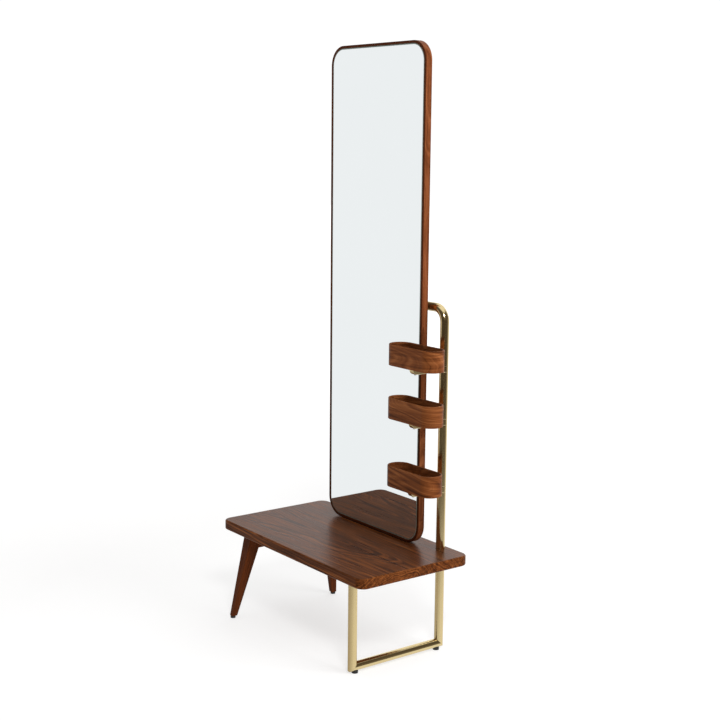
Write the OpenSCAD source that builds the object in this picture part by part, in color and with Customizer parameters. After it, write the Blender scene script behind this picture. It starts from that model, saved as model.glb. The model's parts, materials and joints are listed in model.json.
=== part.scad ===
// Styling station: a low bench, a tall mirror that stands on it, and a brass tube that forms the
// right-hand floor loop, carries three swinging trays and holds the mirror from behind.
// Frame: X along the bench, +X at the end with the brass loop. Y from front to back, the mirror
// faces -Y. Z up. Origin on the floor under the middle of the bench top.

/* [Bench] */
// Length of the bench top along X
bench_l = 778; // [740:1:900]
// Depth of the bench top along Y
bench_w = 420; // [410:1:480]
// Height of the top face above the floor
bench_h = 330; // [300:1:400]
// Thickness of the top
bench_t = 32; // [28:1:40]
// Corner radius of the top in plan
bench_corner = 30; // [20:1:60]
// Rounding of the top's long edges
bench_edge = 5; // [3:0.5:8]

/* [Wooden trestle] */
// Width of a leg at its foot
leg_foot = 18; // [18:1:24]
// Width of a leg at its head
leg_head = 46; // [42:1:52]
// Distance from the bench's left end to the middle of a foot
foot_inset = 62; // [50:1:80]
// Half the distance between the two feet
foot_half_span = 207; // [190:1:210]
// Outward splay of a leg along Y, in degrees
splay_y = 10.5; // [8:0.5:12]
// Outward splay of a leg along X, in degrees
splay_x = 9; // [6:0.5:11]
// Height of the cross-rail under the top
rail_h = 52; // [40:1:60]
// Thickness of the cross-rail
rail_t = 24; // [18:1:26]
// Diameter of a foot cap
cap_d = 17; // [14:0.5:18]
// Height of a foot cap
cap_h = 8; // [6:1:12]

/* [Brass tube] */
// Outer diameter of the tube
tube_d = 28; // [25:0.5:30]
// Wall of the tube
tube_wall = 2; // [1.5:0.25:2.5]
// Distance from the bench's right end to the middle of the tubes
pole_inset_x = 103; // [80:1:110]
// Distance from the bench's back edge to the middle of the pole
pole_inset_y = 32; // [28:1:40]
// Distance from the bench's front edge to the middle of the front post
post_inset_y = 48; // [40:1:70]
// Height of the glides under the loop
glide_h = 7.5; // [5:0.5:12]
// Diameter of a glide
glide_d = 20; // [16:1:22]
// Height of the arm's middle above the floor
arm_z = 1087; // [1060:1:1110]
// Bend radius of the tube's middle line
bend_r = 42; // [34:1:55]
// Length of the arm from the pole's axis to its free end
arm_l = 236; // [200:1:300]
// Diameter of the plates under the bench top
flange_d = 64; // [60:1:70]
// Thickness of the plates under the bench top
flange_t = 4; // [3:0.5:5]

/* [Mirror] */
// Width of the frame
mirror_w = 480; // [440:1:500]
// Height of the frame
mirror_h = 1554; // [1400:1:1650]
// Depth of the frame
mirror_d = 25; // [24:0.5:28]
// Middle of the mirror along X
mirror_x = -5; // [-30:1:0]
// Front face of the frame along Y
mirror_y = 129; // [120:1:130]
// Outer corner radius of the frame
mirror_corner = 62; // [50:1:80]
// Width of the frame's front lip
lip_w = 8.5; // [6:0.5:12]
// Width of the frame timber behind the glass
timber_w = 26; // [22:1:32]
// Thickness of the glass
glass_t = 5; // [4:0.5:6]
// How far the glass lies behind the front of the lip
glass_recess = 1; // [0.5:0.5:1.5]
// Thickness of the pad under the frame
pad_t = 2; // [1:0.5:4]
// Thickness of the back cover
cover_t = 4; // [3:0.5:5]
// Height of the cleat that takes the arm
cleat_h = 60; // [50:1:80]

/* [Trays] */
// Length of a tray along X
tray_l = 220; // [190:1:230]
// Width of a tray along Y
tray_w = 76; // [70:1:80]
// Height of a tray
tray_h = 66; // [50:1:80]
// Wall of the bent band
tray_wall = 5; // [4:0.5:6]
// Thickness of the tray's base board
tray_base_t = 7; // [6:0.5:9]
// Distance from the pole's axis to the middle of a tray
tray_reach = 110; // [108:1:115]
// Height of the underside of the top tray
tray_1_z = 914; // [900:1:925]
// Height of the underside of the middle tray
tray_2_z = 748; // [735:1:760]
// Height of the underside of the bottom tray
tray_3_z = 535; // [520:1:550]
// Length of the plate under a tray
plate_l = 130; // [110:1:150]
// Width of the plate under a tray
plate_w = 40; // [36:1:46]
// Thickness of the plate under a tray
plate_t = 5; // [3:0.5:6]
// Width of the bar along X
bar_w = 18; // [14:1:20]
// Height of the bar
bar_h = 14; // [8:0.5:16]
// Distance from the pole's axis to the bar's front end
bar_reach = 128; // [125:1:132]
// Height of a hub ring
hub_h = 18; // [14:1:24]

/* [Fits] */
// Radial clearance between a hub and the core it turns on
hub_gap = 0.05; // [0.03:0.01:0.1]
// Axial clearance between a hub and each washer
thrust_gap = 0.2; // [0.1:0.05:0.5]
// Thickness of a thrust washer
washer_t = 0.8; // [0.5:0.1:1.5]
// Clearance between a tube and the hole it passes through
hole_gap = 0.5; // [0.3:0.1:1]

/* [Hidden] */
$fn = 64;

// Colours
walnut = "#6b4029";
walnut_dark = "#4a2b1c";
brass = "#cdb98c";
black = "#1c1a19";
steel = "#b9bcc0";
panel = "#a08a6e";
silvered = "#e6ebec";

// Bench levels and edges
under_z = bench_h - bench_t;
right_x = bench_l / 2;
back_y = bench_w / 2;

// Brass tube
tube_r = tube_d / 2;
bore_r = tube_r - tube_wall;
rail_z = glide_h + tube_r;
pole_x = right_x - pole_inset_x;
pole_y = back_y - pole_inset_y;
post_y = -back_y + post_inset_y;
arm_end_x = pole_x - arm_l;
bend_z = arm_z - bend_r;
core_r = bore_r - hub_gap;
tray_zs = [tray_1_z, tray_2_z, tray_3_z];
bar_z = -plate_t - bar_h / 2;
hub_half = hub_h / 2;
stack_half = hub_half + thrust_gap + washer_t;
core_wall = 3;
core_grip = 60;
core_low_z = tray_3_z + bar_z - stack_half - core_grip;
core_high_z = tray_1_z + bar_z + stack_half + core_grip;
pin_r = 2;
pin_recess = 0.3;
glide_ys = [post_y + glide_d / 2, pole_y - glide_d / 2];
glide_seat = 3;
glide_stem_r = 3;
glide_stem_bite = 2;
glide_stem_top = rail_z - bore_r + glide_stem_bite;
plug_head_t = 2;
plug_stem_l = 8;

// Wooden trestle
foot_x = -right_x + foot_inset;
head_x = foot_x + under_z * tan(splay_x);
head_half_span = foot_half_span - under_z * tan(splay_y);
rail_set_out = 2;
rail_x = head_x - rail_set_out;
rail_low_z = under_z - rail_h;
dowel_r = 4;
dowel_reach = 16;
dowel_low_share = 0.25;
dowel_high_share = 0.7;
dowel_zs = [rail_low_z + rail_h * dowel_low_share, rail_low_z + rail_h * dowel_high_share];
rail_screw_pitch = 70;
rail_screw_r = 3;
rail_screw_head_r = 6;
rail_screw_head_h = 4;
rail_screw_bite = 22;
cap_stem_r = 2.5;
cap_stem_h = 16;

// Flange screws
screw_r = 2;
screw_head_r = 4;
screw_head_h = 2;
screw_l = 18;
screw_ring_r = (flange_d / 2 + tube_r) / 2;

// Mirror
mirror_z = bench_h + pad_t;
mirror_top_z = mirror_z + mirror_h;
mirror_back_y = mirror_y + mirror_d;
glass_w = mirror_w - 2 * lip_w;
glass_h = mirror_h - 2 * lip_w;
glass_y = mirror_y + glass_recess;
glass_corner = mirror_corner - lip_w;
opening_w = mirror_w - 2 * timber_w;
opening_h = mirror_h - 2 * timber_w;
opening_corner = mirror_corner - timber_w;
cover_rebate = 8;
cover_w = opening_w + 2 * cover_rebate;
cover_h = opening_h + 2 * cover_rebate;
cover_corner = opening_corner + cover_rebate;
cover_y = mirror_back_y - cover_t;
backing_y = glass_y + glass_t;
backing_d = cover_y - backing_y;
cleat_low_z = arm_z - cleat_h / 2;
cleat_high_z = arm_z + cleat_h / 2;
insert_r = 4;
insert_l = 9;
arm_bolt_inset = 40;
arm_bolt_pitch = 80;
arm_bolt_xs = [arm_end_x + arm_bolt_inset, arm_end_x + arm_bolt_inset + arm_bolt_pitch];
arm_bolt_r = 2.5;
bolt_end_gap = 1;
arm_bolt_l = pole_y + tube_r - cover_y + insert_l - bolt_end_gap;
bolt_head_r = 4.5;
bolt_head_h = 3;
saddle_w = 22;
saddle_h = 18;
joint_rise = 18;
stile_low_z = mirror_z + mirror_corner + joint_rise;
stile_high_z = mirror_top_z - mirror_corner - joint_rise;
mirror_bolt_reach = 130;
mirror_bolt_xs = [mirror_x - mirror_bolt_reach, mirror_x + mirror_bolt_reach];
mirror_bolt_y = mirror_y + mirror_d / 2;
mirror_bolt_r = 3;
mirror_bolt_head_r = 5;
mirror_bolt_head_h = 5;
frame_insert_r = 4.5;
frame_insert_l = 14;
counterbore_r = 9;
counterbore_d = 12;
mirror_washer_r = 8;
mirror_washer_t = 1.5;
mirror_bolt_low_z = under_z + counterbore_d - mirror_washer_t;
mirror_bolt_l = mirror_z + frame_insert_l - mirror_bolt_low_z - bolt_end_gap;
cover_screw_r = 1.5;
cover_screw_head_r = 3;
cover_screw_head_h = 1.5;
cover_screw_l = 12;
cover_screw_inset = 4;
cover_screw_gaps = 5;
cover_screw_end = 20;
cover_screw_low_z = stile_low_z + cover_screw_end;
cover_screw_pitch = (stile_high_z - cover_screw_end - cover_screw_low_z) / cover_screw_gaps;
pad_end_gap = 5;
pad_l = mirror_w - 2 * mirror_corner - 2 * pad_end_gap;
pad_w = 20;

// Trays, in a frame whose origin is on the pole's axis at the tray's underside
inner_l = tray_l - 2 * tray_wall;
inner_w = tray_w - 2 * tray_wall;
tray_screw_inset = 16;
tray_screw_x = plate_l / 2 - tray_screw_inset;
tray_screw_r = 2;
tray_screw_head_r = 3.5;
tray_screw_head_h = 2;
tray_screw_bite = 5;
bar_bolt_r = 2;
bar_bolt_head_r = 3.5;
bar_bolt_head_h = 2.5;
bar_bolt_front = 3;
bar_bolt_back = 13;
bar_bolt_ys = [-bar_bolt_front - tray_reach, bar_bolt_back - tray_reach];

// Longer than the whole station, and how far a cutter passes the face it cuts
far = 2000;
over = 1;

// ---------------------------------------------------------------- shapes that repeat

// Rectangle with round corners, centred on the origin
module soft_rect(l, w, r) {
    square([l - 2 * r, w], center = true);
    square([l, w - 2 * r], center = true);
    for (x = [-1, 1], y = [-1, 1])
        translate([x * (l / 2 - r), y * (w / 2 - r)]) circle(r);
}

// Stadium outline with its long axis along X
module stadium(l, w) {
    square([l - w, w], center = true);
    for (x = [-1, 1]) translate([x * (l - w) / 2, 0]) circle(w / 2);
}

// Slab with round corners in plan and round long edges, its underside at z = 0
module soft_slab(l, w, t, corner, edge) {
    translate([0, 0, t / 2]) {
        rotate([90, 0, 0]) linear_extrude(w - 2 * corner, center = true) soft_rect(l, t, edge);
        rotate([90, 0, 90]) linear_extrude(l - 2 * corner, center = true) soft_rect(w, t, edge);
        for (x = [-1, 1], y = [-1, 1])
            translate([x * (l / 2 - corner), y * (w / 2 - corner), 0]) rotate_extrude()
                intersection() {
                    soft_rect(2 * corner, t, edge);
                    translate([0, -t / 2]) square([corner, t]);
                }
    }
}

// Ring standing on z = 0
module ring(outer, inner, h) {
    difference() {
        cylinder(r = outer, h = h);
        translate([0, 0, -over]) cylinder(r = inner, h = h + 2 * over);
    }
}

// Length of tube along Z from z0 to z1
module tube(z0, z1) {
    translate([0, 0, z0]) ring(tube_r, bore_r, z1 - z0);
}

// Everything on one side of a mitre plane through the origin that contains X
module mitre_cut(angle) {
    rotate([angle, 0, 0]) translate([0, 0, -far / 2]) cube(far, center = true);
}

// Pan-head screw pointing up: its head below the plane z = 0, its shank above it
module screw(head_r, head_h, shank_r, shank_l) {
    translate([0, 0, -head_h]) cylinder(r = head_r, h = head_h);
    cylinder(r = shank_r, h = shank_l);
}

// Upright panel seen from the front: an outline in X and Z pushed back along Y
module upright(y, d) {
    translate([mirror_x, y + d, mirror_z + mirror_h / 2]) rotate([90, 0, 0])
        linear_extrude(d) children();
}

// ---------------------------------------------------------------- bench

module bench_top() {
    color(walnut) difference() {
        translate([0, 0, under_z]) soft_slab(bench_l, bench_w, bench_t, bench_corner, bench_edge);
        translate([pole_x, pole_y, under_z - over])
            cylinder(r = tube_r + hole_gap, h = bench_t + 2 * over);
        mirror_bolt_places(under_z - over) {
            cylinder(r = mirror_bolt_r + hole_gap, h = bench_t + 2 * over);
            cylinder(r = counterbore_r, h = counterbore_d + over);
        }
        flange_screw_places() cylinder(r = screw_r, h = screw_l - flange_t);
        rail_screw_places() cylinder(r = rail_screw_r, h = rail_screw_bite);
    }
}

// Outline of a leg seen along one axis: foot and head on a slanted middle line
module leg_outline(foot_mid, head_mid) {
    polygon([[foot_mid - leg_foot / 2, 0], [foot_mid + leg_foot / 2, 0],
        [head_mid + leg_head / 2, under_z], [head_mid - leg_head / 2, under_z]]);
}

// Front leg's timber from the floor plane to the underside of the top
module leg_body() {
    intersection() {
        rotate([90, 0, 0]) linear_extrude(far, center = true) leg_outline(foot_x, head_x);
        rotate([90, 0, 90]) linear_extrude(far, center = true)
            leg_outline(-foot_half_span, -head_half_span);
    }
}

module leg() {
    color(walnut_dark) difference() {
        leg_body();
        translate([foot_x, -foot_half_span, -over]) cylinder(r = leg_foot, h = cap_h + over);
        translate([foot_x, -foot_half_span, 0]) cylinder(r = cap_stem_r, h = cap_h + cap_stem_h);
        dowel_places() cylinder(r = dowel_r, h = 2 * dowel_reach, center = true);
    }
}

module leg_front_left() {
    leg();
}

module leg_back_left() {
    mirror([0, 1, 0]) leg();
}

// Inner face of the front leg at a height
function leg_inner_y(z) = -foot_half_span + z * tan(splay_y)
    + (leg_foot + (leg_head - leg_foot) * z / under_z) / 2;

// Dowel positions of the front leg, pointing along Y
module dowel_places() {
    for (z = dowel_zs) translate([rail_x, leg_inner_y(z), z]) rotate([90, 0, 0]) children();
}

module leg_rail() {
    color(walnut_dark) difference() {
        translate([rail_x - rail_t / 2, -head_half_span, rail_low_z])
            cube([rail_t, 2 * head_half_span, rail_h]);
        for (side = [0, 1]) mirror([0, side, 0]) {
            leg_body();
            dowel_places() cylinder(r = dowel_r, h = 2 * dowel_reach, center = true);
        }
        rail_screw_places() translate([0, 0, -rail_h - over]) {
            cylinder(r = rail_screw_r, h = rail_h + 2 * over);
            cylinder(r = rail_screw_head_r, h = rail_screw_head_h + over);
        }
    }
}

module leg_dowels() {
    color(panel) for (side = [0, 1]) mirror([0, side, 0])
        dowel_places() cylinder(r = dowel_r, h = 2 * dowel_reach, center = true);
}

// Rail screws stand on the underside of the top
module rail_screw_places() {
    for (i = [-1:1]) translate([rail_x, i * rail_screw_pitch, under_z]) children();
}

module rail_screws() {
    color(steel) rail_screw_places() translate([0, 0, rail_screw_head_h - rail_h])
        screw(rail_screw_head_r - hole_gap, rail_screw_head_h, rail_screw_r,
            rail_h - rail_screw_head_h + rail_screw_bite);
}

module foot_caps() {
    color(black) for (side = [-1, 1]) translate([foot_x, side * foot_half_span, 0]) {
        cylinder(r = cap_d / 2, h = cap_h);
        cylinder(r = cap_stem_r, h = cap_h + cap_stem_h);
    }
}

// ---------------------------------------------------------------- brass tube

module front_post() {
    color(brass) difference() {
        translate([pole_x, post_y, 0]) tube(0, under_z - flange_t);
        translate([pole_x, post_y, rail_z]) mitre_cut(45);
        glide_stems();
    }
}

module floor_rail() {
    color(brass) difference() {
        translate([pole_x, post_y - tube_r, rail_z]) rotate([-90, 0, 0])
            tube(0, pole_y - post_y + tube_d);
        translate([pole_x, post_y, rail_z]) mitre_cut(225);
        translate([pole_x, pole_y, rail_z]) mitre_cut(135);
        glide_stems();
    }
}

module pole_lower() {
    color(brass) difference() {
        translate([pole_x, pole_y, 0]) tube(0, tray_3_z + bar_z - stack_half);
        translate([pole_x, pole_y, rail_z]) mitre_cut(-45);
        core_pin_places() cylinder(r = pin_r, h = tube_d, center = true);
        glide_stems();
    }
}

// Sockets of the glides under the loop's corners, set in from the mitres
module glide_stems() {
    for (y = glide_ys) translate([pole_x, y, 0]) cylinder(r = glide_stem_r, h = rail_z);
}

module rail_glides() {
    color(black) for (y = glide_ys) translate([pole_x, y, 0]) {
        difference() {
            cylinder(r = glide_d / 2, h = glide_h + glide_seat);
            translate([0, 0, rail_z]) rotate([90, 0, 0])
                cylinder(r = tube_r, h = 2 * glide_d, center = true);
        }
        cylinder(r = glide_stem_r, h = glide_stem_top);
    }
}

module post_flange() {
    color(brass) difference() {
        translate([pole_x, post_y, under_z - flange_t]) cylinder(r = flange_d / 2, h = flange_t);
        flange_screw_places() translate([0, 0, -flange_t - over])
            cylinder(r = screw_r, h = flange_t + 2 * over);
    }
}

module pole_flange() {
    color(brass) difference() {
        translate([pole_x, pole_y, under_z - flange_t]) cylinder(r = flange_d / 2, h = flange_t);
        translate([pole_x, pole_y, 0]) cylinder(r = tube_r, h = bench_h);
        flange_screw_places() translate([0, 0, -flange_t - over])
            cylinder(r = screw_r, h = flange_t + 2 * over);
    }
}

// Three screws round each tube, on the underside of the top
module flange_screw_places() {
    for (y = [post_y, pole_y], a = [90, 210, 330])
        translate([pole_x + screw_ring_r * cos(a), y + screw_ring_r * sin(a), under_z]) children();
}

module flange_screws() {
    color(steel) flange_screw_places() translate([0, 0, -flange_t])
        screw(screw_head_r, screw_head_h, screw_r, screw_l);
}

// Pins through the back of the tube, where it holds the core
module core_pin_places() {
    for (z = [core_low_z + core_grip / 2, core_high_z - core_grip / 2])
        translate([pole_x, pole_y + tube_r - tube_wall, z]) rotate([90, 0, 0]) children();
}

// Inner tube that runs from inside the lower tube to inside the upper one
module pole_core() {
    color(steel) difference() {
        translate([pole_x, pole_y, core_low_z])
            ring(core_r, core_r - core_wall, core_high_z - core_low_z);
        core_pin_places() cylinder(r = pin_r, h = tube_d, center = true);
    }
}

module core_pins() {
    color(steel) intersection() {
        core_pin_places() cylinder(r = pin_r, h = tube_d, center = true);
        translate([pole_x, pole_y, core_low_z])
            ring(tube_r - pin_recess, core_r - core_wall, core_high_z - core_low_z);
    }
}

// Outer tube between the hub of one tray and the hub of the tray above it
module spacer(low_tray_z, high_tray_z) {
    color(brass) translate([pole_x, pole_y, 0])
        tube(low_tray_z + bar_z + stack_half, high_tray_z + bar_z - stack_half);
}

module pole_spacer_low() {
    spacer(tray_3_z, tray_2_z);
}

module pole_spacer_high() {
    spacer(tray_2_z, tray_1_z);
}

module thrust_washers() {
    color(brass) for (z = tray_zs, side = [-1, 1])
        translate([pole_x, pole_y, z + bar_z + side * (stack_half - washer_t / 2) - washer_t / 2])
            ring(tube_r, bore_r, washer_t);
}

module pole_upper() {
    color(brass) difference() {
        union() {
            translate([pole_x, pole_y, 0]) tube(tray_1_z + bar_z + stack_half, bend_z);
            translate([pole_x - bend_r, pole_y, bend_z]) rotate([90, 0, 0])
                rotate_extrude(angle = 90) translate([bend_r, 0]) difference() {
                    circle(tube_r);
                    circle(bore_r);
                }
            translate([arm_end_x, pole_y, arm_z]) rotate([0, 90, 0]) tube(0, arm_l - bend_r);
        }
        arm_bolt_places() cylinder(r = arm_bolt_r + hole_gap, h = far, center = true);
        core_pin_places() cylinder(r = pin_r, h = tube_d, center = true);
    }
}

module arm_plug() {
    color(brass) translate([arm_end_x, pole_y, arm_z]) rotate([0, 90, 0]) {
        translate([0, 0, -plug_head_t]) cylinder(r = tube_r, h = plug_head_t);
        cylinder(r = bore_r, h = plug_stem_l);
    }
}

// Bolts pointing forward from the back of the arm
module arm_bolt_places() {
    for (x = arm_bolt_xs) translate([x, pole_y + tube_r, arm_z]) rotate([90, 0, 0]) children();
}

module arm_bolts() {
    color(steel) arm_bolt_places() screw(bolt_head_r, bolt_head_h, arm_bolt_r, arm_bolt_l);
}

module arm_saddles() {
    color(brass) difference() {
        for (x = arm_bolt_xs)
            translate([x - saddle_w / 2, mirror_back_y, arm_z - saddle_h / 2])
                cube([saddle_w, pole_y - mirror_back_y, saddle_h]);
        translate([arm_end_x, pole_y, arm_z]) rotate([0, 90, 0]) cylinder(r = tube_r, h = arm_l);
        arm_bolt_places() cylinder(r = arm_bolt_r, h = far, center = true);
    }
}

// Inserts in the cleat, pointing back
module insert_places() {
    for (x = arm_bolt_xs)
        translate([x, cover_y - insert_l, arm_z]) rotate([-90, 0, 0]) children();
}

module cleat_inserts() {
    color(brass) difference() {
        insert_places() cylinder(r = insert_r, h = insert_l);
        arm_bolt_places() cylinder(r = arm_bolt_r, h = far, center = true);
    }
}

// ---------------------------------------------------------------- mirror

// Bolts that stand in the bench top and hold the frame's bottom member
module mirror_bolt_places(z) {
    for (x = mirror_bolt_xs) translate([x, mirror_bolt_y, z]) children();
}

// Whole frame before it is cut into its four members
module frame_ring() {
    difference() {
        upright(mirror_y, mirror_d) soft_rect(mirror_w, mirror_h, mirror_corner);
        upright(mirror_y - over, glass_recess + glass_t + over)
            soft_rect(glass_w, glass_h, glass_corner);
        upright(mirror_y - over, mirror_d + 2 * over)
            soft_rect(opening_w, opening_h, opening_corner);
        upright(cover_y, cover_t + over) soft_rect(cover_w, cover_h, cover_corner);
        cover_screw_places() cylinder(r = cover_screw_r, h = cover_screw_l - cover_t);
        mirror_bolt_places(mirror_z - over)
            cylinder(r = frame_insert_r, h = frame_insert_l + over);
    }
}

// Part of the frame in a box; the corners belong to the top and bottom members
module frame_slice(x0, x1, z0, z1) {
    color(walnut) intersection() {
        frame_ring();
        translate([x0, mirror_y - over, z0]) cube([x1 - x0, mirror_d + 2 * over, z1 - z0]);
    }
}

module frame_left() {
    frame_slice(mirror_x - mirror_w, mirror_x, stile_low_z, stile_high_z);
}

module frame_right() {
    frame_slice(mirror_x, mirror_x + mirror_w, stile_low_z, stile_high_z);
}

module frame_top() {
    frame_slice(mirror_x - mirror_w, mirror_x + mirror_w, stile_high_z, mirror_top_z + over);
}

module frame_bottom() {
    frame_slice(mirror_x - mirror_w, mirror_x + mirror_w, mirror_z - over, stile_low_z);
}

module mirror_glass() {
    color(silvered) {
        upright(glass_y, glass_t) soft_rect(glass_w, glass_h, glass_corner);
    }
}

// Panel behind the glass between two heights
module backing(z0, z1) {
    color(panel) intersection() {
        upright(backing_y, backing_d) soft_rect(opening_w, opening_h, opening_corner);
        translate([mirror_x - mirror_w / 2, backing_y - over, z0])
            cube([mirror_w, backing_d + 2 * over, z1 - z0]);
    }
}

module backing_lower() {
    backing(mirror_z, cleat_low_z);
}

module backing_upper() {
    backing(cleat_high_z, mirror_top_z);
}

module mirror_cleat() {
    color(panel) difference() {
        translate([mirror_x - opening_w / 2, backing_y, cleat_low_z])
            cube([opening_w, backing_d, cleat_h]);
        insert_places() cylinder(r = insert_r, h = insert_l + over);
    }
}

module back_cover() {
    color(walnut_dark) difference() {
        upright(cover_y, cover_t) soft_rect(cover_w, cover_h, cover_corner);
        cover_screw_places() translate([0, 0, -cover_t - over])
            cylinder(r = cover_screw_r, h = cover_t + 2 * over);
        arm_bolt_places() cylinder(r = arm_bolt_r + hole_gap, h = far, center = true);
    }
}

// Screws down both sides of the back cover, pointing forward into the frame
module cover_screw_places() {
    for (x = [-1, 1], i = [0:cover_screw_gaps])
        translate([mirror_x + x * (cover_w / 2 - cover_screw_inset), cover_y,
            cover_screw_low_z + i * cover_screw_pitch]) rotate([90, 0, 0]) children();
}

module cover_screws() {
    color(steel) cover_screw_places() translate([0, 0, -cover_t])
        screw(cover_screw_head_r, cover_screw_head_h, cover_screw_r, cover_screw_l);
}

module mirror_pad() {
    color(black) difference() {
        translate([mirror_x - pad_l / 2, mirror_bolt_y - pad_w / 2, bench_h])
            cube([pad_l, pad_w, pad_t]);
        mirror_bolt_places(bench_h - over)
            cylinder(r = mirror_bolt_r + hole_gap, h = pad_t + 2 * over);
    }
}

module mirror_bolts() {
    color(steel) mirror_bolt_places(mirror_bolt_low_z)
        screw(mirror_bolt_head_r, mirror_bolt_head_h, mirror_bolt_r, mirror_bolt_l);
}

module mirror_washers() {
    color(steel) mirror_bolt_places(mirror_bolt_low_z)
        ring(mirror_washer_r, mirror_bolt_r, mirror_washer_t);
}

module frame_inserts() {
    color(brass) mirror_bolt_places(mirror_z)
        ring(frame_insert_r, mirror_bolt_r, frame_insert_l);
}

// ---------------------------------------------------------------- trays

// Puts a tray's parts at its height on the pole
module on_pole(z) {
    translate([pole_x, pole_y, z]) children();
}

module tray_hub(z) {
    color(brass) on_pole(z) translate([0, 0, bar_z - hub_half])
        ring(tube_r, bore_r, hub_h);
}

// Bar's side view: a strip whose front end is rounded below
module bar_outline() {
    square([bar_reach - bar_h, bar_h]);
    translate([0, bar_h / 2]) square([bar_reach, bar_h / 2]);
    translate([bar_reach - bar_h, bar_h]) intersection() {
        circle(bar_h);
        translate([0, -bar_h]) square(bar_h);
    }
}

module tray_bar(z) {
    color(brass) on_pole(z) difference() {
        translate([-bar_w / 2, 0, -plate_t - bar_h]) rotate([90, 0, 90]) mirror([1, 0, 0])
            linear_extrude(bar_w) bar_outline();
        translate([0, 0, -far / 2]) cylinder(r = tube_r, h = far);
        bar_bolt_places() cylinder(r = bar_bolt_r, h = far, center = true);
    }
}

module tray_plate(z) {
    color(walnut_dark) on_pole(z) difference() {
        translate([0, -tray_reach, -plate_t]) linear_extrude(plate_t) stadium(plate_l, plate_w);
        tray_screw_places() cylinder(r = tray_screw_r, h = far, center = true);
        bar_bolt_places() cylinder(r = bar_bolt_r, h = far, center = true);
    }
}

// Bent wall with a half-round rim
module tray_band(z) {
    rim_r = tray_wall / 2;
    rim_z = tray_h - rim_r;
    half_straight = (tray_l - tray_w) / 2;
    color(walnut) on_pole(z) translate([0, -tray_reach, 0]) {
        linear_extrude(rim_z) difference() {
            stadium(tray_l, tray_w);
            stadium(inner_l, inner_w);
        }
        for (side = [-1, 1]) {
            translate([0, side * (tray_w / 2 - rim_r), rim_z]) rotate([0, 90, 0])
                cylinder(r = rim_r, h = 2 * half_straight, center = true);
            translate([side * half_straight, 0, rim_z]) rotate([0, 0, -90 * side])
                rotate_extrude(angle = 180) translate([tray_w / 2 - rim_r, 0]) circle(rim_r);
        }
    }
}

module tray_base(z) {
    color(walnut) on_pole(z) difference() {
        translate([0, -tray_reach, 0]) linear_extrude(tray_base_t) stadium(inner_l, inner_w);
        tray_screw_places() translate([0, 0, -over])
            cylinder(r = tray_screw_r, h = tray_screw_bite + over);
    }
}

// Screws up through the plate, one near each end
module tray_screw_places() {
    for (x = [-1, 1]) translate([x * tray_screw_x, -tray_reach, 0]) children();
}

module tray_screws(z) {
    color(steel) on_pole(z) tray_screw_places() translate([0, 0, -plate_t])
        screw(tray_screw_head_r, tray_screw_head_h, tray_screw_r, plate_t + tray_screw_bite);
}

// Bolts up through the bar into the plate
module bar_bolt_places() {
    for (y = bar_bolt_ys) translate([0, y, 0]) children();
}

module tray_bolts(z) {
    color(steel) on_pole(z) bar_bolt_places() translate([0, 0, -plate_t - bar_h])
        screw(bar_bolt_head_r, bar_bolt_head_h, bar_bolt_r, plate_t + bar_h);
}

// ---------------------------------------------------------------- nodes

bench_top();
leg_front_left();
leg_back_left();
leg_rail();
leg_dowels();
rail_screws();
foot_caps();
front_post();
floor_rail();
pole_lower();
rail_glides();
post_flange();
pole_flange();
flange_screws();
pole_core();
core_pins();
pole_spacer_low();
pole_spacer_high();
pole_upper();
thrust_washers();
arm_plug();
arm_saddles();
arm_bolts();
cleat_inserts();
frame_left();
frame_right();
frame_top();
frame_bottom();
mirror_glass();
backing_lower();
backing_upper();
mirror_cleat();
back_cover();
cover_screws();
mirror_pad();
mirror_bolts();
mirror_washers();
frame_inserts();
tray_hub(tray_1_z);  // tray_1_hub
tray_bar(tray_1_z);  // tray_1_bar
tray_plate(tray_1_z);  // tray_1_plate
tray_band(tray_1_z);  // tray_1_band
tray_base(tray_1_z);  // tray_1_base
tray_screws(tray_1_z);  // tray_1_screws
tray_bolts(tray_1_z);  // tray_1_bolts
tray_hub(tray_2_z);  // tray_2_hub
tray_bar(tray_2_z);  // tray_2_bar
tray_plate(tray_2_z);  // tray_2_plate
tray_band(tray_2_z);  // tray_2_band
tray_base(tray_2_z);  // tray_2_base
tray_screws(tray_2_z);  // tray_2_screws
tray_bolts(tray_2_z);  // tray_2_bolts
tray_hub(tray_3_z);  // tray_3_hub
tray_bar(tray_3_z);  // tray_3_bar
tray_plate(tray_3_z);  // tray_3_plate
tray_band(tray_3_z);  // tray_3_band
tray_base(tray_3_z);  // tray_3_base
tray_screws(tray_3_z);  // tray_3_screws
tray_bolts(tray_3_z);  // tray_3_bolts
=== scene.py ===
"""Looks of the styling station: every visible piece rebuilt as a fine mesh on its CAD body,
with procedural walnut, brass, mirror, steel and plastic, on a plain white studio floor."""

import json
import math

import bmesh
import bpy
import numpy as np
from mathutils import Matrix, Vector


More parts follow.
